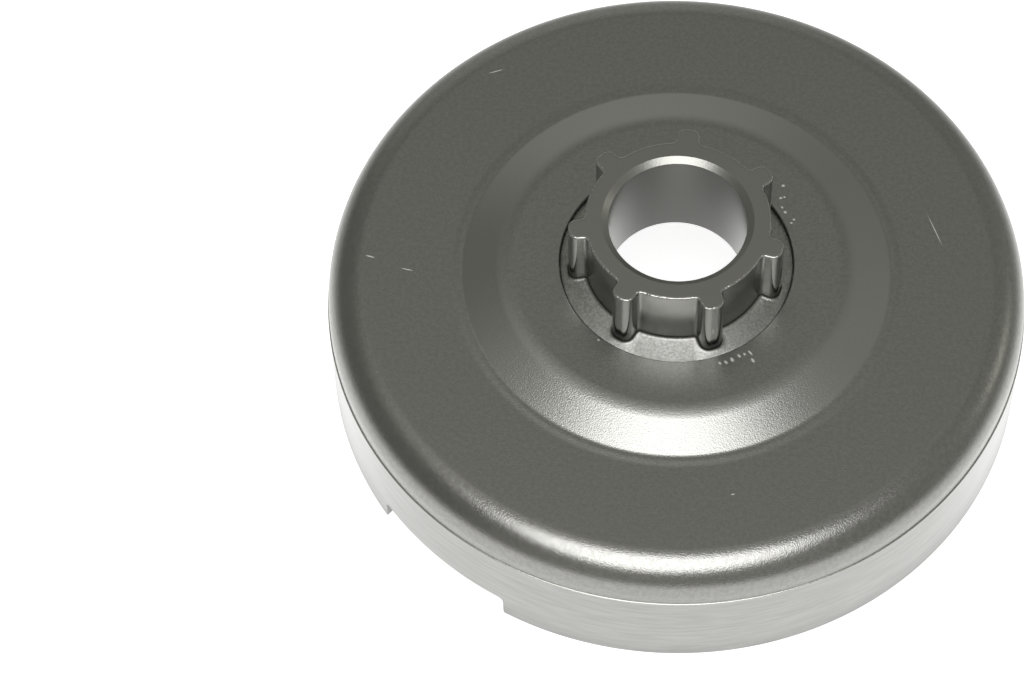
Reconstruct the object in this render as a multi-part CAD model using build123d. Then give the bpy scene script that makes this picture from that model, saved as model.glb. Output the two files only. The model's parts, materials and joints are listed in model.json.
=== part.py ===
from build123d import *
import os
from math import hypot, radians, tan

# Clutch drum of a chain saw, standing on its open rim with the hub up.
# Millimetres. The origin is on the drum's axis in the plane of the rim, and +Z runs out through the hub.

# Drawn cup
band_diameter = 82.2        # turned band, from the rim up
band_step = 0.15            # narrow ledge where the turning stops
wall_lean = 0.05            # the as-drawn wall leans in by this much on the radius
drawn_strip = 1.25          # as-drawn wall between the ledge and the rounded edge
cup_height = 18.1           # rim to the flat face
wall = 2.4                  # side wall of the cup
sheet = 2.5                 # sheet left in the closed end
edge_radius = 4.25          # rounded edge between wall and flat face
inner_edge_radius = 1.8     # the same edge inside the cup
rim_break = 0.3             # chamfers of the rim

# Raised centre of the closed end
crown_diameter = 40.2       # where the slope would meet the level top
crown_height = 1.9          # level top above the flat face
crown_slope = 21.0          # degrees, from a sharp foot on the flat face
crown_blend = 6.0           # easing from the slope to the level top
hole_roll = 0.4             # edge of the hole that takes the hub, rolled over by the punch

# Notch in the rim
notch_width = 18.7
notch_depth = 3.65
notch_corner = 0.7          # rounded corners at the notch's top and at the rim
notch_angle = -130.0        # degrees from +X

# Hub
bore_diameter = 16.0        # outer race of the needle cage
hub_wall = 2.7              # bore to the body between the splines
hub_height = 8.8            # end of the hub above the cup's level top
flange_land = 0.65          # flange beyond the splines' foot
flange_slope = 15.0         # degrees, falling outwards
flange_drop = 0.45          # flange's edge below the cup's level top, which leaves a groove round the hub
braze_gap = 0.03            # film between the flange and the cup's hole, on the radius
tail_length = 2.1           # sleeve below the sheet
lead_in_depth = 0.5         # chamfer at the mouth of the bore
lead_in_width = 0.75
tail_chamfer = 0.4          # both edges of the lower end

# Splines
spline_count = 7
spline_angle = -68.6        # first spline, degrees from +X
spline_height = 1.9
spline_root_width = 2.9
spline_tip_width = 2.5
spline_nose = 1.0           # rounded corners of the tip
spline_fillet = 0.5         # between flank and root
spline_foot = 0.35          # fillet all round where the splines meet the flange
spline_break = 0.2          # worn edge round the top

band_radius = band_diameter / 2
band_height = cup_height - edge_radius - drawn_strip
crown_top = cup_height + crown_height
crown_underside = crown_top - sheet
bore_radius = bore_diameter / 2
root_radius = bore_radius + hub_wall
tip_radius = root_radius + spline_height
flange_radius = tip_radius + spline_foot + flange_land
flange_edge = crown_top - flange_drop
flange_rise = (flange_radius - root_radius) * tan(radians(flange_slope))
hub_top = crown_top + hub_height
hub_bottom = crown_underside - tail_length


def cup_section():
    """Half section of the cup: up the outside, in over the closed end and back along the inside."""
    inner_radius = band_radius - wall
    ledge_radius = band_radius - band_step
    crown_radius = crown_diameter / 2
    foot_radius = crown_radius + crown_height / tan(radians(crown_slope))
    hole_radius = flange_radius + braze_gap
    # The inside of the slope is set in so that the sheet keeps its thickness
    setback = sheet * tan(radians(crown_slope) / 2)
    corners = [
        ((band_radius - rim_break, 0), 0),
        ((band_radius, rim_break), 0),
        ((band_radius, band_height), 0),
        ((ledge_radius, band_height), 0),
        ((ledge_radius - wall_lean, cup_height), edge_radius),
        ((foot_radius, cup_height), 0),
        ((crown_radius, crown_top), crown_blend),
        ((hole_radius, crown_top), hole_roll),
        ((hole_radius, crown_underside), 0),
        ((crown_radius - setback, crown_underside), crown_blend - sheet),
        ((foot_radius - setback, cup_height - sheet), 0),
        ((inner_radius, cup_height - sheet), inner_edge_radius),
        ((inner_radius, rim_break), 0),
        ((inner_radius + rim_break, 0), 0),
    ]
    points = [point for point, radius in corners]
    radii = [radius for point, radius in corners]
    outline = FilletPolyline(*points, radius=radii, close=True)
    return Plane.XZ * make_face(outline)


def rim_notch():
    """Prism that cuts the notch: it widens below the rim, so its corners there come out rounded."""
    half = notch_width / 2
    spread = half + 2 * notch_corner
    drop = notch_corner
    corners = [
        ((-spread, -drop), 0),
        ((-spread, 0), 0),
        ((-half, 0), notch_corner),
        ((-half, notch_depth), notch_corner),
        ((half, notch_depth), notch_corner),
        ((half, 0), notch_corner),
        ((spread, 0), 0),
        ((spread, -drop), 0),
    ]
    points = [point for point, radius in corners]
    radii = [radius for point, radius in corners]
    outline = make_face(FilletPolyline(*points, radius=radii, close=True))
    return Rot(0, 0, notch_angle) * extrude(Plane.YZ * outline, band_diameter)


def drum_cup():
    return revolve(cup_section(), Axis.Z) - rim_notch()


def spline_outline():
    """Plan of the hub above its flange: the root circle with a ring of round-nosed splines."""
    inside = root_radius - spline_nose
    corners = [
        ((inside, -spline_root_width / 2), 0),
        ((tip_radius, -spline_tip_width / 2), spline_nose),
        ((tip_radius, spline_tip_width / 2), spline_nose),
        ((inside, spline_root_width / 2), 0),
    ]
    points = [point for point, radius in corners]
    radii = [radius for point, radius in corners]
    spline = make_face(FilletPolyline(*points, radius=radii, close=True))
    plan = Sketch() + Circle(root_radius)
    for step in range(spline_count):
        plan += Rot(0, 0, spline_angle + step * 360 / spline_count) * spline
    near_root = 0.001
    flank_ends = [end for flank in plan.edges().filter_by(GeomType.LINE) for end in flank.vertices()]
    feet = [end for end in flank_ends if abs(hypot(end.X, end.Y) - root_radius) < near_root]
    return fillet(feet, spline_fillet)


def splined_body():
    body = extrude(Pos(0, 0, flange_edge) * spline_outline(), hub_top - flange_edge)
    return chamfer(body.faces().sort_by(Axis.Z)[-1].edges(), spline_break)


def hub_turning():
    """Everything on the hub that is round: bore with its lead-in, flange and tail."""
    corners = [
        (bore_radius, hub_bottom + tail_chamfer),
        (bore_radius + tail_chamfer, hub_bottom),
        (root_radius - tail_chamfer, hub_bottom),
        (root_radius, hub_bottom + tail_chamfer),
        (root_radius, crown_underside),
        (flange_radius, crown_underside),
        (flange_radius, flange_edge),
        (root_radius, flange_edge + flange_rise),
        (bore_radius, flange_edge + flange_rise),
    ]
    return revolve(Plane.XZ * make_face(Polyline(*corners, close=True)), Axis.Z)


def bore_cut():
    corners = [
        (0, flange_edge),
        (bore_radius, flange_edge),
        (bore_radius, hub_top - lead_in_depth),
        (bore_radius + lead_in_width, hub_top),
        (0, hub_top),
    ]
    return revolve(Plane.XZ * make_face(Polyline(*corners, close=True)), Axis.Z)


def splined_hub():
    hub = (splined_body() - bore_cut()) + hub_turning()
    low_edges = hub.edges().filter_by_position(Axis.Z, flange_edge, flange_edge + flange_rise)
    foot_edges = low_edges.filter_by(lambda edge: not edge.is_closed)
    return fillet(foot_edges, spline_foot)


os.makedirs("parts", exist_ok=True)
export_step(drum_cup(), "parts/drum_cup.step")
export_step(splined_hub(), "parts/splined_hub.step")
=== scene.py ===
import json
import math

import bmesh
import bpy
from mathutils import Matrix, Vector
from mathutils.geometry import intersect_line_sphere_2d


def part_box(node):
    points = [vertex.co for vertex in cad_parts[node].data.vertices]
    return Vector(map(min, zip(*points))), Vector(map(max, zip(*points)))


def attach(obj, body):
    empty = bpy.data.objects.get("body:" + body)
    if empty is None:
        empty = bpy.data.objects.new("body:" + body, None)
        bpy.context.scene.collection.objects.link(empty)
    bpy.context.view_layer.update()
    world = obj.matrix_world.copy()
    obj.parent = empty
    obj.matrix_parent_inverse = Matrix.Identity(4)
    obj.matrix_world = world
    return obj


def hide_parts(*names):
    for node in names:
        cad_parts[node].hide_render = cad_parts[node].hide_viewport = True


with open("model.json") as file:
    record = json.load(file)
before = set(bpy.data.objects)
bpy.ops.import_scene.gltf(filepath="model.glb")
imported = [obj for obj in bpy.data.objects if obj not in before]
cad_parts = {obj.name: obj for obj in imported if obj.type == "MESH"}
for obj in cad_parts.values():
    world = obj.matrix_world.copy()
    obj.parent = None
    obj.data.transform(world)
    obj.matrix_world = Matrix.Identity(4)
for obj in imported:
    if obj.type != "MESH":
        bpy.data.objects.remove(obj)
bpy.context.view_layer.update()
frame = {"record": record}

# Clutch drum: a drawn steel cup with a raised centre, and the splined hub brazed into it.
# Sizes are in millimetres, and MM turns them to Blender's metres.

MM = 0.001
cup_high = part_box("drum_cup")[1]
hub_low, hub_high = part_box("splined_hub")
mounts = {mount["name"]: mount for mount in frame["record"]["mounts"]}

# Drawn cup
band_radius = cup_high.x / MM
band_step = 0.15            # narrow ledge where the turning stops
band_edge = 0.13            # the ledge's worn edge
wall_lean = 0.05            # the as-drawn wall leans in by this much
drawn_strip = 1.25          # as-drawn wall between the ledge and the rounded edge
wall = 2.4
sheet = 2.5
edge_radius = 4.25
inner_edge_radius = 1.8
inner_foot = 0.5            # rounding of the slope's foot inside the cup
rim_break = 0.3
rim_round = 0.15            # worn edges of the rim's chamfers
crown_top = cup_high.z / MM
crown_height = 1.9
crown_radius = 20.1
crown_slope = math.radians(21.0)
crown_blend = 6.0
crown_foot = 1.0            # hollow rounding where the slope meets the flat face
ring_height = 0.08          # low step that the drawing punch left round the foot
ring_inside = 0.55
ring_outside = 1.25
ring_blend = 3.5
hole_roll = 0.15            # edge of the hub's hole, rolled over by the punch
cup_height = crown_top - crown_height
band_height = cup_height - edge_radius - drawn_strip
foot_radius = crown_radius + crown_height / math.tan(crown_slope)

# Notch in the rim
notch_width = 18.7
notch_depth = 3.65
notch_corner = 0.7
notch_angle = math.radians(-130.0)

# Hub
bore_radius = mounts["needle_bore"]["dims"]["r_mm"]
flange_radius = hub_high.x / MM
flange_land = 0.65
flange_slope = math.radians(15.0)
flange_drop = 0.45
flange_round = 0.12         # worn outer edge of the flange
braze_gap = 0.03
hub_top = hub_high.z / MM
hub_bottom = hub_low.z / MM
lead_in_depth = 0.5
lead_in_width = 0.75
tail_chamfer = 0.4
crown_underside = crown_top - sheet
spline_count = 7
spline_angle = math.radians(-68.6)
spline_height = 1.9
spline_root_width = 2.9
spline_tip_width = 2.5
spline_nose = 1.0
spline_fillet = 0.5
spline_foot = 0.35
spline_break = 0.2
tip_radius = flange_radius - flange_land - spline_foot
root_radius = tip_radius - spline_height

# How finely the round shapes are divided
turn_steps = 288
gap_steps = 16
arc_steps = 4
nose_steps = 10
fillet_steps = 6
longest_edge = 2.0
merge_distance = 0.0001
smooth_limit = math.radians(25)

# Setting of the nodes that ease from one level to another
EASED = {"interpolation_type": "SMOOTHSTEP"}


def round_corner(bm, corner, radius, steps):
    """Rounds one corner of a flat outline with an arc that touches both its sides."""
    towards = [edge.other_vert(corner).co - corner.co for edge in corner.link_edges]
    half_angle = towards[0].angle(towards[1]) / 2
    bmesh.ops.bevel(
        bm, geom=[corner], offset=radius * MM / math.tan(half_angle), offset_type="OFFSET",
        affect="VERTICES", segments=steps, profile=0.5, material=-1, clamp_overlap=False,
    )


def new_piece(name, bm, node, materials):
    """Makes the mesh a piece of the part that stands for a CAD node, smooth apart from its real edges."""
    mesh = bpy.data.meshes.new(name)
    bm.to_mesh(mesh)
    bm.free()
    mesh.shade_smooth()
    mesh.set_sharp_from_angle(angle=smooth_limit)
    for material in materials:
        mesh.materials.append(material)
    piece = bpy.data.objects.new(name, mesh)
    bpy.context.scene.collection.objects.link(piece)
    flats = piece.modifiers.new("flats_stay_flat", "WEIGHTED_NORMAL")
    flats.keep_sharp = True
    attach(piece, "root")
    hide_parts(node)
    return piece


def cup_shell():
    """The cup's half section, rounded corner by corner and spun round the axis."""
    inner_radius = band_radius - wall
    ledge_radius = band_radius - band_step
    hole_radius = flange_radius + braze_gap
    setback = sheet * math.tan(crown_slope / 2)
    # Each corner: distance from the axis, height, rounding and the steps of its arc
    corners = [
        (band_radius - rim_break, 0, rim_round, 3),
        (band_radius, rim_break, rim_round, 3),
        (band_radius, band_height, band_edge, 6),
        (ledge_radius, band_height, 0, 0),
        (ledge_radius - wall_lean, cup_height - ring_height, edge_radius, 28),
        (foot_radius + ring_outside, cup_height - ring_height, ring_blend, 4),
        (foot_radius + ring_inside, cup_height, ring_blend, 4),
        (foot_radius, cup_height, crown_foot, 6),
        (crown_radius, crown_top, crown_blend, 14),
        (hole_radius, crown_top, hole_roll, 4),
        (hole_radius, crown_underside, 0, 0),
        (crown_radius - setback, crown_underside, crown_blend - sheet, 8),
        (foot_radius - setback, cup_height - sheet, inner_foot, 3),
        (inner_radius, cup_height - sheet, inner_edge_radius, 12),
        (inner_radius, rim_break, rim_round, 3),
        (inner_radius + rim_break, 0, rim_round, 3),
    ]
    bm = bmesh.new()
    outline = [bm.verts.new((radius * MM, 0, height * MM)) for radius, height, rounding, steps in corners]
    bm.faces.new(outline)
    for corner, (radius, height, rounding, steps) in zip(outline, corners):
        if rounding:
            round_corner(bm, corner, rounding, steps)
    bmesh.ops.delete(bm, geom=bm.faces[:], context="FACES_ONLY")
    for edge in bm.edges[:]:
        cuts = int(edge.calc_length() / (longest_edge * MM))
        if cuts:
            bmesh.ops.subdivide_edges(bm, edges=[edge], cuts=cuts)
    bmesh.ops.spin(
        bm, geom=bm.verts[:] + bm.edges[:], cent=(0, 0, 0), axis=(0, 0, 1), dvec=(0, 0, 0),
        angle=math.tau, steps=turn_steps, use_merge=True, use_normal_flip=False, use_duplicate=False,
    )
    bmesh.ops.remove_doubles(bm, verts=bm.verts[:], dist=merge_distance * MM)
    bmesh.ops.recalc_face_normals(bm, faces=bm.faces[:])
    return bm


def notch_cutter():
    """A prism through the rim that widens below it, so the notch's corners there come out rounded."""
    half = notch_width / 2
    spread = half + 2 * notch_corner
    drop = notch_corner
    inner_end = band_radius - 2 * wall
    outer_end = band_radius + wall
    # Each corner: place across the notch, height and rounding
    corners = [
        (-spread, -drop, 0),
        (spread, -drop, 0),
        (spread, 0, 0),
        (half, 0, notch_corner),
        (half, notch_depth, notch_corner),
        (-half, notch_depth, notch_corner),
        (-half, 0, notch_corner),
        (-spread, 0, 0),
    ]
    bm = bmesh.new()
    places = [(inner_end * MM, across * MM, height * MM) for across, height, rounding in corners]
    outline = [bm.verts.new(place) for place in places]
    bm.faces.new(outline)
    for corner, (across, height, rounding) in zip(outline, corners):
        if rounding:
            round_corner(bm, corner, rounding, fillet_steps)
    grown = bmesh.ops.extrude_face_region(bm, geom=bm.faces[:])
    moved = [item for item in grown["geom"] if isinstance(item, bmesh.types.BMVert)]
    bmesh.ops.translate(bm, verts=moved, vec=((outer_end - inner_end) * MM, 0, 0))
    bmesh.ops.recalc_face_normals(bm, faces=bm.faces[:])
    bmesh.ops.rotate(bm, verts=bm.verts[:], cent=(0, 0, 0), matrix=Matrix.Rotation(notch_angle, 3, "Z"))
    return bm


def cut_away(bm, cutter):
    """Takes the cutter's shape out of a closed mesh and gives the mesh that is left."""
    objects = []
    for name, shape in (("whole", bm), ("cutter", cutter)):
        mesh = bpy.data.meshes.new(name)
        shape.to_mesh(mesh)
        shape.free()
        thing = bpy.data.objects.new(name, mesh)
        bpy.context.scene.collection.objects.link(thing)
        objects.append(thing)
    cut = objects[0].modifiers.new("cut", "BOOLEAN")
    cut.operation = "DIFFERENCE"
    cut.solver = "EXACT"
    cut.object = objects[1]
    depsgraph = bpy.context.evaluated_depsgraph_get()
    left = bmesh.new()
    left.from_object(objects[0], depsgraph)
    for thing in objects:
        bpy.data.meshes.remove(thing.data)
    return left


def drum_cup(material):
    """The cup with the notch cut out of its rim."""
    bm = cut_away(cup_shell(), notch_cutter())
    return new_piece("drawn_cup", bm, "drum_cup", [material])


def spline_plan():
    """Plan of the hub above its flange: round-nosed splines on the root circle.
    It is given as points and the outward direction at each."""
    inside = root_radius - spline_nose
    flank = [Vector((inside, spline_root_width / 2)), Vector((tip_radius, spline_tip_width / 2))]
    crossings = intersect_line_sphere_2d(flank[0], flank[1], Vector((0, 0)), root_radius)
    foot = next(point for point in crossings if point)
    foot_angle = math.atan2(foot.y, foot.x)
    pitch = math.tau / spline_count
    gap_step = (pitch - 2 * foot_angle) / gap_steps
    bm = bmesh.new()
    outline = []
    feet = []
    tips = []
    for number in range(spline_count):
        turn = Matrix.Rotation(spline_angle + number * pitch, 3, "Z")
        sides = [(foot.x, -foot.y), (tip_radius, -flank[1].y), (tip_radius, flank[1].y), (foot.x, foot.y)]
        spline = [bm.verts.new(turn @ Vector((x, y, 0)) * MM) for x, y in sides]
        feet += [spline[0], spline[3]]
        tips += [spline[1], spline[2]]
        outline += spline
        for step in range(1, gap_steps):
            along = foot_angle + step * gap_step
            on_root = Vector((math.cos(along), math.sin(along), 0)) * root_radius
            outline.append(bm.verts.new(turn @ on_root * MM))
    bm.faces.new(outline)
    for tip in tips:
        round_corner(bm, tip, spline_nose, nose_steps)
    for foot_corner in feet:
        round_corner(bm, foot_corner, spline_fillet, fillet_steps)
    bm.faces.ensure_lookup_table()
    whole = bm.faces[0]
    whole.normal_update()
    if whole.normal.z < 0:
        whole.normal_flip()
    points = [corner.co / MM for corner in whole.verts]
    bm.free()
    outwards = []
    for number, point in enumerate(points):
        along = points[(number + 1) % len(points)] - points[number - 1]
        outwards.append(Vector((along.y, -along.x, 0)).normalized())
    return points, outwards


def flange_level(radius):
    """Height of the flange's sloping top at some distance from the axis."""
    return crown_top - flange_drop + (flange_radius - radius) * math.tan(flange_slope)


def splined_hub(materials):
    """Rings of corners, each the splines' plan or a circle at some height, joined in turn.
    The last one joins the first. Each ring names the finish of the faces that start from it."""
    points, outwards = spline_plan()
    names = [material.name for material in materials]
    arc = [step / arc_steps * math.pi / 2 for step in range(arc_steps + 1)]
    rings = []

    def circle(radius, height, finish):
        corners = [point.normalized() * radius + Vector((0, 0, height)) for point in points]
        rings.append((corners, names.index(finish)))

    def plan(offset, height, finish):
        moved = [point + outward * offset for point, outward in zip(points, outwards)]
        corners = [corner + Vector((0, 0, height)) for corner in moved]
        rings.append((corners, names.index(finish)))

    def foot(offset, rise, finish):
        moved = [point + outward * offset for point, outward in zip(points, outwards)]
        corners = [corner + Vector((0, 0, flange_level(corner.length) + rise)) for corner in moved]
        rings.append((corners, names.index(finish)))

    circle(bore_radius + lead_in_width, hub_top, "ground_end_steel")
    plan(-2 * spline_break, hub_top, "ground_end_steel")
    for turned in arc[:-1]:
        inset = spline_break * (1 - math.sin(turned))
        drop = spline_break * (1 - math.cos(turned))
        plan(-inset, hub_top - drop, "rubbed_edge_steel")
    plan(0, hub_top - spline_break, "burnished_spline_steel")
    for turned in arc:
        offset = spline_foot * (1 - math.cos(turned))
        rise = spline_foot * (1 - math.sin(turned))
        foot(offset, rise, "pressed_flange_steel")
    for turned in arc:
        radius = flange_radius - flange_round * (1 - math.sin(turned))
        circle(radius, flange_level(radius) - flange_round * (1 - math.cos(turned)), "pressed_flange_steel")
    circle(flange_radius, crown_underside, "burnished_spline_steel")
    circle(root_radius, crown_underside, "burnished_spline_steel")
    circle(root_radius, hub_bottom + tail_chamfer, "burnished_spline_steel")
    circle(root_radius - tail_chamfer, hub_bottom, "burnished_spline_steel")
    circle(bore_radius + tail_chamfer, hub_bottom, "burnished_spline_steel")
    circle(bore_radius, hub_bottom + tail_chamfer, "honed_bore_steel")
    circle(bore_radius, hub_top - lead_in_depth, "ground_end_steel")

    bm = bmesh.new()
    loops = [[bm.verts.new(corner * MM) for corner in corners] for corners, finish in rings]
    for number, (corners, finish) in enumerate(rings):
        this = loops[number]
        following = loops[(number + 1) % len(loops)]
        for at in range(len(this)):
            face = bm.faces.new((this[at - 1], this[at], following[at], following[at - 1]))
            face.material_index = finish
    bmesh.ops.recalc_face_normals(bm, faces=bm.faces[:])
    return new_piece("splined_hub_body", bm, "splined_hub", materials)


def linear(code):
    """A colour written as sRGB hex, as the linear value that a shader takes."""
    channels = [int(code[at:at + 2], 16) / 255 for at in (1, 3, 5)]
    return [c / 12.92 if c <= 0.04045 else ((c + 0.055) / 1.055) ** 2.4 for c in channels] + [1.0]


def add(tree, kind, inputs=None, **settings):
    """Adds one node. Settings are its properties, and each input is a value, an output or another node.
    Of a node, the first output in use is linked."""
    made = tree.nodes.new(kind)
    for name, value in settings.items():
        setattr(made, name, value)
    for name, value in (inputs or {}).items():
        if isinstance(value, bpy.types.Node):
            value = next(output for output in value.outputs if output.enabled)
        if isinstance(value, bpy.types.NodeSocket):
            tree.links.new(value, made.inputs[name])
        else:
            made.inputs[name].default_value = value
    return made


def axis_distance(tree, place):
    """How far a point is from the drum's axis."""
    level = add(tree, "ShaderNodeVectorMath", {0: place, 1: (1.0, 1.0, 0.0)}, operation="MULTIPLY")
    return add(tree, "ShaderNodeVectorMath", {0: level}, operation="LENGTH")


def new_material(name):
    """An empty material with the place on the part that its patterns are laid out in."""
    material = bpy.data.materials.new(name)
    material.use_nodes = True
    tree = material.node_tree
    tree.nodes.clear()
    return material, tree, add(tree, "ShaderNodeTexCoord").outputs["Object"]


def finish_steel(tree, tone, roughness, relief, depth, **more):
    """Bare steel of one tone and roughness with a relief of the given depth in millimetres."""
    bumps = add(tree, "ShaderNodeBump", {"Height": relief, "Distance": depth * MM, "Strength": 1.0})
    inputs = {"Base Color": tone, "Metallic": 1.0, "Roughness": roughness, "Normal": bumps}
    inputs.update(more)
    steel = add(tree, "ShaderNodeBsdfPrincipled", inputs)
    add(tree, "ShaderNodeOutputMaterial", {"Surface": steel})


def scratches(tree, place):
    """Nicks and scratches from handling, each an ellipse on the outer face, as a mask."""
    # Each one: x and y of its middle, length, width and direction in degrees
    marks = [
        (5.39, -13.66, 0.6, 0.35, -50),
        (6.08, -13.49, 0.7, 0.4, -50),
        (6.77, -13.12, 0.8, 0.5, -60),
        (7.57, -12.58, 0.7, 0.4, -50),
        (8.19, -12.34, 0.5, 0.35, -50),
        (8.84, -12.12, 1.0, 0.32, -50),
        (9.15, -13.12, 0.85, 0.42, -55),
        (12.24, 10.95, 0.55, 0.42, 0),
        (11.98, 9.21, 0.5, 0.4, 20),
        (12.41, 9.35, 0.4, 0.3, 20),
        (12.16, 7.90, 0.5, 0.3, -40),
        (12.53, 7.24, 0.55, 0.42, -40),
        (13.58, 6.25, 0.4, 0.35, 0),
        (13.28, 5.77, 0.4, 0.3, 0),
        (-8.61, -11.16, 0.4, 0.3, 0),
        (-22.66, 27.38, 2.4, 0.16, 20),
        (7.32, -29.57, 0.6, 0.2, 15),
        (-35.94, 0.31, 1.4, 0.25, -15),
        (-31.47, -1.30, 1.8, 0.18, -12),
        (30.20, 6.72, 5.5, 0.13, -68),
    ]
    solid_share = 0.5           # of the ellipse, before it fades to its edge
    between_faces = (cup_height + crown_underside) / 2
    level = add(tree, "ShaderNodeVectorMath", {0: place, 1: (1.0, 1.0, 0.0)}, operation="MULTIPLY")
    mask = 0.0
    for x, y, length, width, direction in marks:
        own = add(
            tree, "ShaderNodeMapping",
            {
                "Vector": level, "Location": (x * MM, y * MM, 0.0),
                "Rotation": (0.0, 0.0, math.radians(direction)),
                "Scale": (length / 2 * MM, width / 2 * MM, 1.0),
            },
            vector_type="TEXTURE",
        )
        reach = add(tree, "ShaderNodeVectorMath", {0: own}, operation="LENGTH")
        mark = add(
            tree, "ShaderNodeMapRange",
            {"Value": reach, "From Min": solid_share, "From Max": 1.0, "To Min": 1.0, "To Max": 0.0}, **EASED,
        )
        mask = add(tree, "ShaderNodeMath", {0: mask, 1: mark}, operation="MAXIMUM")
    height = add(tree, "ShaderNodeSeparateXYZ", {"Vector": place}).outputs["Z"]
    outside = add(tree, "ShaderNodeMath", {0: height, 1: between_faces * MM}, operation="GREATER_THAN")
    return add(tree, "ShaderNodeMath", {0: mask, 1: outside}, operation="MULTIPLY")


def tumbled_drawn_steel():
    """Deep-drawn carbon steel, tumbled after drawing: a satin grey that sparkles where a highlight fades.
    The slope of the raised centre was ironed paler by the punch, and the rounded edge came out smoother.
    The band down to the rim was turned afterwards: it is paler, with fine rings and a painted highlight along
    its upper edge."""
    material, tree, place = new_material("tumbled_drawn_steel")
    grain_size = 0.17           # coarser than the real grain, so that it shows in the render
    grain_depth = 0.024
    mottle_size = 0.5
    mottle_start = 0.75
    mottle_full = 1.25
    ring_size = 0.4             # wider than the real turning marks, so that they show in the render
    ring_start = 0.25
    ring_full = 0.75
    ring_stretch = 0.08         # the rings are drawn out round the drum
    ring_relief = 0.2
    highlight_core = 0.05            # above and below the middle of the ledge's edge
    highlight_end = 0.16
    ironed_start = crown_radius - 0.5
    ironed_full = crown_radius + 0.7
    ironed_fade = foot_radius - 0.4
    ironed_end = foot_radius + 0.2
    edge_start = band_radius - edge_radius
    edge_full = edge_start + 0.8
    face_roughness = 0.28
    edge_roughness = 0.23
    nick_roughness = 0.6

    height = add(tree, "ShaderNodeSeparateXYZ", {"Vector": place}).outputs["Z"]
    reach = axis_distance(tree, place)
    turned_top = (band_height - band_edge) * MM
    ledge_middle = (band_height - band_edge / 2) * MM
    turned = add(tree, "ShaderNodeMath", {0: height, 1: turned_top}, operation="LESS_THAN")
    over_ledge = add(tree, "ShaderNodeMath", {0: height, 1: ledge_middle}, operation="SUBTRACT")
    off_ledge = add(tree, "ShaderNodeMath", {0: over_ledge}, operation="ABSOLUTE")
    # Painted highlight: a paler tone along the ledge's edge, where the step catches the light
    painted_ledge_highlight = add(
        tree, "ShaderNodeMapRange",
        {
            "Value": off_ledge, "From Min": highlight_core * MM, "From Max": highlight_end * MM,
            "To Min": 1.0, "To Max": 0.0,
        },
        **EASED,
    )
    below_shoulder = add(
        tree, "ShaderNodeMapRange",
        {"Value": reach, "From Min": ironed_start * MM, "From Max": ironed_full * MM}, **EASED,
    )
    above_foot = add(
        tree, "ShaderNodeMapRange",
        {
            "Value": reach, "From Min": ironed_fade * MM, "From Max": ironed_end * MM,
            "To Min": 1.0, "To Max": 0.0,
        },
        **EASED,
    )
    ironed = add(tree, "ShaderNodeMath", {0: below_shoulder, 1: above_foot}, operation="MULTIPLY")
    grain = add(tree, "ShaderNodeTexNoise", {"Vector": place, "Scale": 1 / (grain_size * MM), "Detail": 2.0})
    cloud = add(tree, "ShaderNodeTexNoise", {"Vector": place, "Scale": 1 / (mottle_size * MM), "Detail": 3.0})
    around = add(
        tree, "ShaderNodeVectorMath", {0: place, 1: (ring_stretch, ring_stretch, 1.0)}, operation="MULTIPLY",
    )
    rings = add(tree, "ShaderNodeTexNoise", {"Vector": around, "Scale": 1 / (ring_size * MM), "Detail": 3.0})
    nicks = scratches(tree, place)

    speckle = add(tree, "ShaderNodeMath", {0: cloud, 1: grain}, operation="ADD")
    mottle = add(
        tree, "ShaderNodeMapRange",
        {"Value": speckle, "From Min": mottle_start, "From Max": mottle_full}, **EASED,
    )
    ringed = add(
        tree, "ShaderNodeMapRange", {"Value": rings, "From Min": ring_start, "From Max": ring_full}, **EASED,
    )
    tumbled_tone = add(
        tree, "ShaderNodeMix", {"Factor": mottle, "A": linear("#90908D"), "B": linear("#9B9B98")},
        data_type="RGBA",
    )
    face_tone = add(
        tree, "ShaderNodeMix", {"Factor": ironed, "A": tumbled_tone, "B": linear("#A0A09D")},
        data_type="RGBA",
    )
    turned_tone = add(
        tree, "ShaderNodeMix", {"Factor": ringed, "A": linear("#9A9A98"), "B": linear("#A6A6A4")},
        data_type="RGBA",
    )
    tone = add(tree, "ShaderNodeMix", {"Factor": turned, "A": face_tone, "B": turned_tone}, data_type="RGBA")
    # Painted highlight along the ledge's edge
    tone = add(tree, "ShaderNodeMix", {"Factor": painted_ledge_highlight, "A": tone, "B": linear("#BEBEBB")}, data_type="RGBA")
    tone = add(tree, "ShaderNodeMix", {"Factor": nicks, "A": tone, "B": linear("#E2E2DE")}, data_type="RGBA")

    dulling = add(
        tree, "ShaderNodeMapRange",
        {
            "Value": reach, "From Min": edge_start * MM, "From Max": edge_full * MM,
            "To Min": face_roughness, "To Max": edge_roughness,
        },
        **EASED,
    )
    nick_dulling = add(tree, "ShaderNodeMath", {0: nicks, 1: nick_roughness}, operation="MULTIPLY")
    roughness = add(tree, "ShaderNodeMath", {0: dulling, 1: nick_dulling}, operation="MAXIMUM")
    low_rings = add(tree, "ShaderNodeMath", {0: rings, 1: ring_relief}, operation="MULTIPLY")
    relief = add(tree, "ShaderNodeMix", {"Factor": turned, "A": grain, "B": low_rings}, data_type="FLOAT")
    finish_steel(tree, tone, roughness, relief, grain_depth)
    return material


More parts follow.
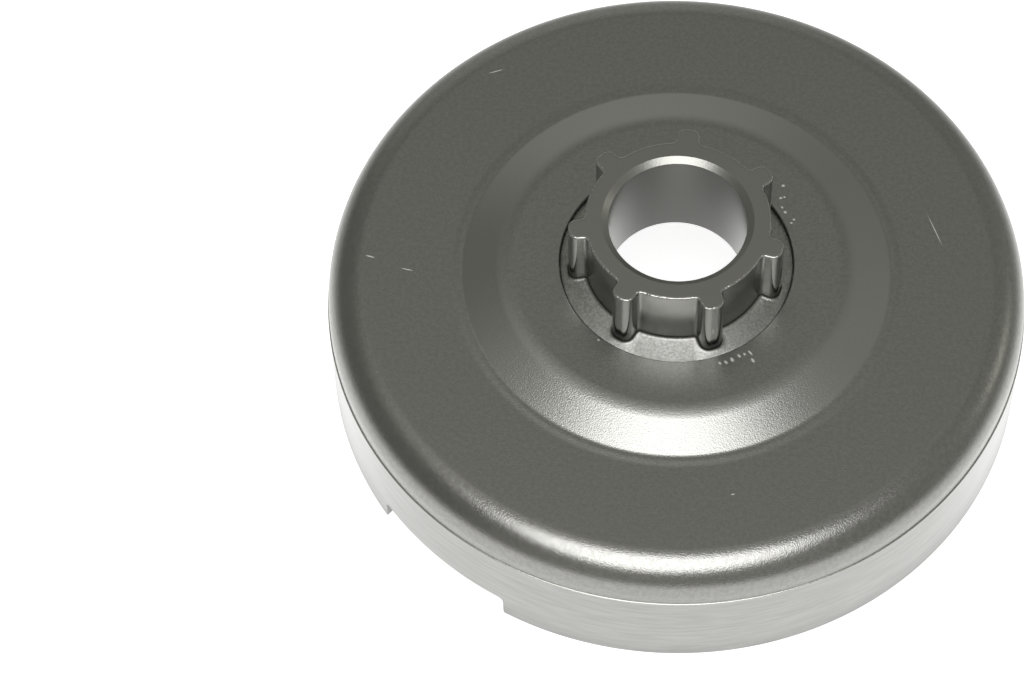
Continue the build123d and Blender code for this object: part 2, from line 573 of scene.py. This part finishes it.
def burnished_spline_steel():
    """Hardened steel dulled by heat and oil, with the splines' noses burnished smooth in use."""
    material, tree, place = new_material("burnished_spline_steel")
    stain_size = 2.5
    stain_start = 0.35
    stain_full = 0.65
    mark_size = 0.35
    mark_depth = 0.006
    nose_share = 0.45           # of the splines' height, where the burnishing starts
    nose_start = root_radius + nose_share * spline_height
    nose_full = nose_start + 0.5
    gap_roughness = 0.27
    nose_polish = 0.14
    reach = axis_distance(tree, place)
    nose = add(
        tree, "ShaderNodeMapRange",
        {"Value": reach, "From Min": nose_start * MM, "From Max": nose_full * MM}, **EASED,
    )
    stain = add(tree, "ShaderNodeTexNoise", {"Vector": place, "Scale": 1 / (stain_size * MM), "Detail": 3.0})
    stained = add(
        tree, "ShaderNodeMapRange",
        {"Value": stain, "From Min": stain_start, "From Max": stain_full}, **EASED,
    )
    tone = add(
        tree, "ShaderNodeMix", {"Factor": stained, "A": linear("#989895"), "B": linear("#A4A4A1")},
        data_type="RGBA",
    )
    tone = add(tree, "ShaderNodeMix", {"Factor": nose, "A": tone, "B": linear("#8C8C89")}, data_type="RGBA")
    polish = add(tree, "ShaderNodeMath", {0: nose, 1: nose_polish}, operation="MULTIPLY")
    roughness = add(tree, "ShaderNodeMath", {0: gap_roughness, 1: polish}, operation="SUBTRACT")
    marks = add(tree, "ShaderNodeTexNoise", {"Vector": place, "Scale": 1 / (mark_size * MM), "Detail": 2.0})
    finish_steel(tree, tone, roughness, marks, mark_depth)
    return material


def rubbed_edge_steel():
    """The hub's edge, rubbed bright in use and chipped along its length."""
    material, tree, place = new_material("rubbed_edge_steel")
    chip_size = 0.6
    chip_depth = 0.15
    roughness = 0.22
    chips = add(tree, "ShaderNodeTexNoise", {"Vector": place, "Scale": 1 / (chip_size * MM), "Detail": 1.0})
    finish_steel(tree, linear("#A8A8A4"), roughness, chips, chip_depth)
    return material


def ground_end_steel():
    """The hub's end, ground flat: a plain satin grey."""
    material, tree, place = new_material("ground_end_steel")
    grit_size = 0.3
    grit_depth = 0.012
    roughness = 0.3
    grit = add(tree, "ShaderNodeTexNoise", {"Vector": place, "Scale": 1 / (grit_size * MM), "Detail": 2.0})
    finish_steel(tree, linear("#989894"), roughness, grit, grit_depth)
    return material


def pressed_flange_steel():
    """The flange as it was pressed: granular, so it glitters, and darkened with painted shade at the splines'
    foot.
    """
    material, tree, place = new_material("pressed_flange_steel")
    speckle_size = 0.3
    speckle_start = 0.35
    speckle_full = 0.65
    grain_size = 0.17           # coarser than the real grain, so that it shows in the render
    grain_depth = 0.025
    roughness = 0.36
    foot_shade_start = 0.02            # above the flange's top
    foot_shade_full = 0.25
    foot_shade_share = 0.75
    reach = axis_distance(tree, place)
    height = add(tree, "ShaderNodeSeparateXYZ", {"Vector": place}).outputs["Z"]
    fall = add(tree, "ShaderNodeMath", {0: reach, 1: math.tan(flange_slope)}, operation="MULTIPLY")
    levelled = add(tree, "ShaderNodeMath", {0: height, 1: fall}, operation="ADD")
    above = add(tree, "ShaderNodeMath", {0: levelled, 1: flange_level(0.0) * MM}, operation="SUBTRACT")
    # Painted shade: the flange darkens towards the corner at the splines' foot
    oil = add(
        tree, "ShaderNodeMapRange",
        {"Value": above, "From Min": foot_shade_start * MM, "From Max": foot_shade_full * MM, "To Max": foot_shade_share}, **EASED,
    )
    speckle = add(
        tree, "ShaderNodeTexNoise", {"Vector": place, "Scale": 1 / (speckle_size * MM), "Detail": 2.0},
    )
    speckled = add(
        tree, "ShaderNodeMapRange",
        {"Value": speckle, "From Min": speckle_start, "From Max": speckle_full}, **EASED,
    )
    tone = add(
        tree, "ShaderNodeMix", {"Factor": speckled, "A": linear("#8A8A87"), "B": linear("#9E9E9B")},
        data_type="RGBA",
    )
    # Painted shade at the splines' foot, mixed into the flange's tone
    tone = add(tree, "ShaderNodeMix", {"Factor": oil, "A": tone, "B": linear("#2E2C29")}, data_type="RGBA")
    grain = add(tree, "ShaderNodeTexNoise", {"Vector": place, "Scale": 1 / (grain_size * MM), "Detail": 2.0})
    finish_steel(tree, tone, roughness, grain, grain_depth)
    return material


def honed_bore_steel():
    """The needle cage's seat, honed to a shine.
    Fine marks round the bore draw its highlight out along the axis."""
    material, tree, place = new_material("honed_bore_steel")
    mark_size = 0.3             # wider than the real marks, so that they show in the render
    mark_stretch = 0.05         # the marks are drawn out round the bore
    mark_depth = 0.004
    roughness = 0.4
    drawn_out = 0.9
    quarter_turn = 0.25
    around = add(
        tree, "ShaderNodeVectorMath", {0: place, 1: (mark_stretch, mark_stretch, 1.0)}, operation="MULTIPLY",
    )
    marks = add(tree, "ShaderNodeTexNoise", {"Vector": around, "Scale": 1 / (mark_size * MM), "Detail": 2.0})
    tangent = add(tree, "ShaderNodeTangent", direction_type="RADIAL", axis="Z")
    finish_steel(
        tree, linear("#A4A4A1"), roughness, marks, mark_depth,
        Anisotropic=drawn_out, Tangent=tangent, **{"Anisotropic Rotation": quarter_turn},
    )
    return material


def paper_sweep():
    """Matt white paper: white to the camera and in the steel, with room left for the drum's shadow.
    In the steel its glow is painted light and shade: a painted pool of light fades away from the lit place in
    front of the drum and is brighter beside the drum than in front, painted shade dims it under the drum and
    a little at the rim, and a painted pool of light marks the patch that the lamp lights through the bore."""
    material, tree, place = new_material("white_paper")
    glow_strength = 0.85
    # Painted shade under the drum and at its rim, and painted light in front, beside the drum and in the
    # patch lit through the bore
    painted_shade_under = 0.06            # under the drum
    shade_radius = 30.0
    painted_rim_shade = 0.7             # right at the rim
    rim_reach = 1.5
    front_share = 0.92
    side_share = 1.2
    side_start = -30.0
    side_full = -10.0
    front_middle = -45.0
    front_full = 50.0
    front_end = 140.0
    lit_middle = 13.0           # patch lit through the bore
    lit_full = 8.5
    lit_end = 10.5
    painted_bore_light = 3.8

    reach = axis_distance(tree, place)
    along = add(tree, "ShaderNodeSeparateXYZ", {"Vector": place}).outputs["Y"]
    front_spot = (0.0, front_middle * MM, 0.0)
    to_front = add(tree, "ShaderNodeVectorMath", {0: place, 1: front_spot}, operation="SUBTRACT")
    lit_spot = (0.0, lit_middle * MM, 0.0)
    to_lit = add(tree, "ShaderNodeVectorMath", {0: place, 1: lit_spot}, operation="SUBTRACT")
    front_reach = axis_distance(tree, to_front)
    lit_reach = axis_distance(tree, to_lit)
    bright = add(
        tree, "ShaderNodeMapRange",
        {
            "Value": front_reach, "From Min": front_full * MM, "From Max": front_end * MM,
            "To Min": 1.0, "To Max": 0.0,
        },
        **EASED,
    )
    under = add(
        tree, "ShaderNodeMapRange",
        {"Value": reach, "From Min": shade_radius * MM, "From Max": band_radius * MM, "To Min": painted_shade_under},
        **EASED,
    )
    beside = add(
        tree, "ShaderNodeMapRange",
        {
            "Value": reach, "From Min": band_radius * MM, "From Max": (band_radius + rim_reach) * MM,
            "To Min": painted_rim_shade,
        },
        **EASED,
    )
    painted_side_light = add(
        tree, "ShaderNodeMapRange",
        {
            "Value": along, "From Min": side_start * MM, "From Max": side_full * MM,
            "To Min": front_share, "To Max": side_share,
        },
        **EASED,
    )
    # Painted pool of light on the paper where the lamp shines through the bore
    lit = add(
        tree, "ShaderNodeMapRange",
        {
            "Value": lit_reach, "From Min": lit_full * MM, "From Max": lit_end * MM,
            "To Min": painted_bore_light, "To Max": 0.0,
        },
        **EASED,
    )
    # Painted shade under the drum and at its rim, and painted light in front of and beside it, shape the glow
    # that the steel sees
    painted_drum_shade = add(tree, "ShaderNodeMath", {0: under, 1: beside}, operation="MULTIPLY")
    painted_light_and_shade = add(tree, "ShaderNodeMath", {0: bright, 1: painted_drum_shade}, operation="MULTIPLY")
    painted_light_and_shade = add(tree, "ShaderNodeMath", {0: painted_light_and_shade, 1: painted_side_light}, operation="MULTIPLY")
    brightest = add(tree, "ShaderNodeMath", {0: painted_light_and_shade, 1: lit}, operation="MAXIMUM")

    path = add(tree, "ShaderNodeLightPath").outputs
    mirrored = add(tree, "ShaderNodeMath", {0: path["Is Glossy Ray"], 1: brightest}, operation="MULTIPLY")
    looked_at = add(
        tree, "ShaderNodeMath", {0: path["Is Camera Ray"], 1: path["Is Transmission Ray"]},
        operation="MAXIMUM",
    )
    seen = add(tree, "ShaderNodeMath", {0: looked_at, 1: mirrored}, operation="MAXIMUM")
    strength = add(tree, "ShaderNodeMath", {0: seen, 1: glow_strength}, operation="MULTIPLY")
    paper = add(tree, "ShaderNodeBsdfDiffuse", {"Color": linear("#CFCFCF")})
    glow = add(tree, "ShaderNodeEmission", {"Color": linear("#FFFFFF"), "Strength": strength})
    both = add(tree, "ShaderNodeAddShader", {0: paper, 1: glow})
    add(tree, "ShaderNodeOutputMaterial", {"Surface": both})
    return material


def soft_patch(tree, way, towards, inner, outer, strength):
    """A patch of light in the room, full inside one angle and gone beyond another."""
    middle = Vector(towards).normalized()
    gone = math.cos(math.radians(outer))
    full = math.cos(math.radians(inner))
    facing = add(tree, "ShaderNodeVectorMath", {0: way, 1: middle}, operation="DOT_PRODUCT")
    return add(
        tree, "ShaderNodeMapRange",
        {"Value": facing, "From Min": gone, "From Max": full, "To Max": strength}, **EASED,
    )


def paper_sheet():
    """The round sheet of paper that the drum stands on."""
    sheet_radius = 2000.0
    bm = bmesh.new()
    bmesh.ops.create_circle(bm, cap_ends=True, segments=96, radius=sheet_radius * MM)
    mesh = bpy.data.meshes.new("paper_sweep")
    bm.to_mesh(mesh)
    bm.free()
    mesh.materials.append(paper_sweep())
    paper = bpy.data.objects.new("paper_sweep", mesh)
    bpy.context.scene.collection.objects.link(paper)


def soft_lamp():
    """One large round lamp, high in front of the drum."""
    lamp_distance = 1200.0
    lamp_size = 1068.0
    lamp_rise = math.radians(64.5)
    lamp_side = math.radians(-2)
    lamp_watts = 9.8
    level = math.cos(lamp_rise)
    towards = Vector((math.sin(lamp_side) * level, -math.cos(lamp_side) * level, math.sin(lamp_rise)))
    lamp = bpy.data.lights.new("soft_lamp", "AREA")
    lamp.shape = "DISK"
    lamp.size = lamp_size * MM
    lamp.energy = lamp_watts
    lamp_object = bpy.data.objects.new("soft_lamp", lamp)
    lamp_object.location = towards * lamp_distance * MM
    lamp_object.rotation_euler = towards.to_track_quat("Z", "Y").to_euler()
    bpy.context.scene.collection.objects.link(lamp_object)


def grey_room():
    """A dim grey room with some paler patches. The camera sees it white."""
    world = bpy.data.worlds.new("grey_room")
    bpy.context.scene.world = world
    world.use_nodes = True
    tree = world.node_tree
    tree.nodes.clear()
    way = add(tree, "ShaderNodeTexCoord").outputs["Generated"]
    room_level = 0.24
    light = room_level
    # Each patch: the way to its middle, the angles where it starts to fade and is gone, and its strength
    patches = [
        ((-0.05, 0.30, 0.95), 2, 22, 0.2),
        ((-0.35, 0.10, 0.93), 5, 25, 0.25),
        ((-0.15, 0.95, 0.27), 6, 34, 0.23),
        ((0.90, 0.10, 0.35), 15, 75, 0.13),
        ((0.0, -0.97, 0.22), 15, 60, 0.2),
        ((0.857, 0.301, 0.418), 3, 9, 1.0),
    ]
    for towards, inner, outer, strength in patches:
        patch = soft_patch(tree, way, towards, inner, outer, strength)
        light = add(tree, "ShaderNodeMath", {0: light, 1: patch}, operation="ADD")
    path = add(tree, "ShaderNodeLightPath").outputs
    looked_at = add(
        tree, "ShaderNodeMath", {0: path["Is Camera Ray"], 1: path["Is Transmission Ray"]},
        operation="MAXIMUM",
    )
    tint = add(
        tree, "ShaderNodeMix", {"Factor": looked_at, "A": linear("#FFFFF6"), "B": linear("#FFFFFF")},
        data_type="RGBA",
    )
    strength = add(tree, "ShaderNodeMath", {0: light, 1: looked_at}, operation="MAXIMUM")
    room = add(tree, "ShaderNodeBackground", {"Color": tint, "Strength": strength})
    add(tree, "ShaderNodeOutputWorld", {"Surface": room})


def camera():
    """The photograph's view: down on the drum from the front with a long lens."""
    lens = 126.56
    distance = 421.4
    rise = math.radians(57.94)
    pan = math.radians(2.568)
    tilt = math.radians(-1.219)
    roll = math.radians(-2.051)
    aim = Vector((0, 0, cup_height))
    ahead = Vector((0, math.cos(rise), -math.sin(rise)))
    right = Vector((1, 0, 0))
    up = right.cross(ahead)
    place = (aim - ahead * distance) * MM
    ahead, right = Matrix.Rotation(pan, 3, up) @ ahead, Matrix.Rotation(pan, 3, up) @ right
    ahead, up = Matrix.Rotation(tilt, 3, right) @ ahead, Matrix.Rotation(tilt, 3, right) @ up
    right, up = Matrix.Rotation(roll, 3, ahead) @ right, Matrix.Rotation(roll, 3, ahead) @ up
    data = bpy.data.cameras.new("photo_camera")
    data.lens = lens
    data.sensor_width = 36.0
    data.clip_start = 0.01
    data.clip_end = 20.0
    view = bpy.data.objects.new("photo_camera", data)
    view.matrix_world = Matrix.Translation(place) @ Matrix((right, up, -ahead)).transposed().to_4x4()
    bpy.context.scene.collection.objects.link(view)
    bpy.context.scene.camera = view


drum_cup(tumbled_drawn_steel())
splined_hub(
    [
        burnished_spline_steel(), rubbed_edge_steel(), ground_end_steel(), pressed_flange_steel(),
        honed_bore_steel(),
    ],
)
paper_sheet()
soft_lamp()
grey_room()
camera()
bpy.context.scene.view_settings.view_transform = "Standard"
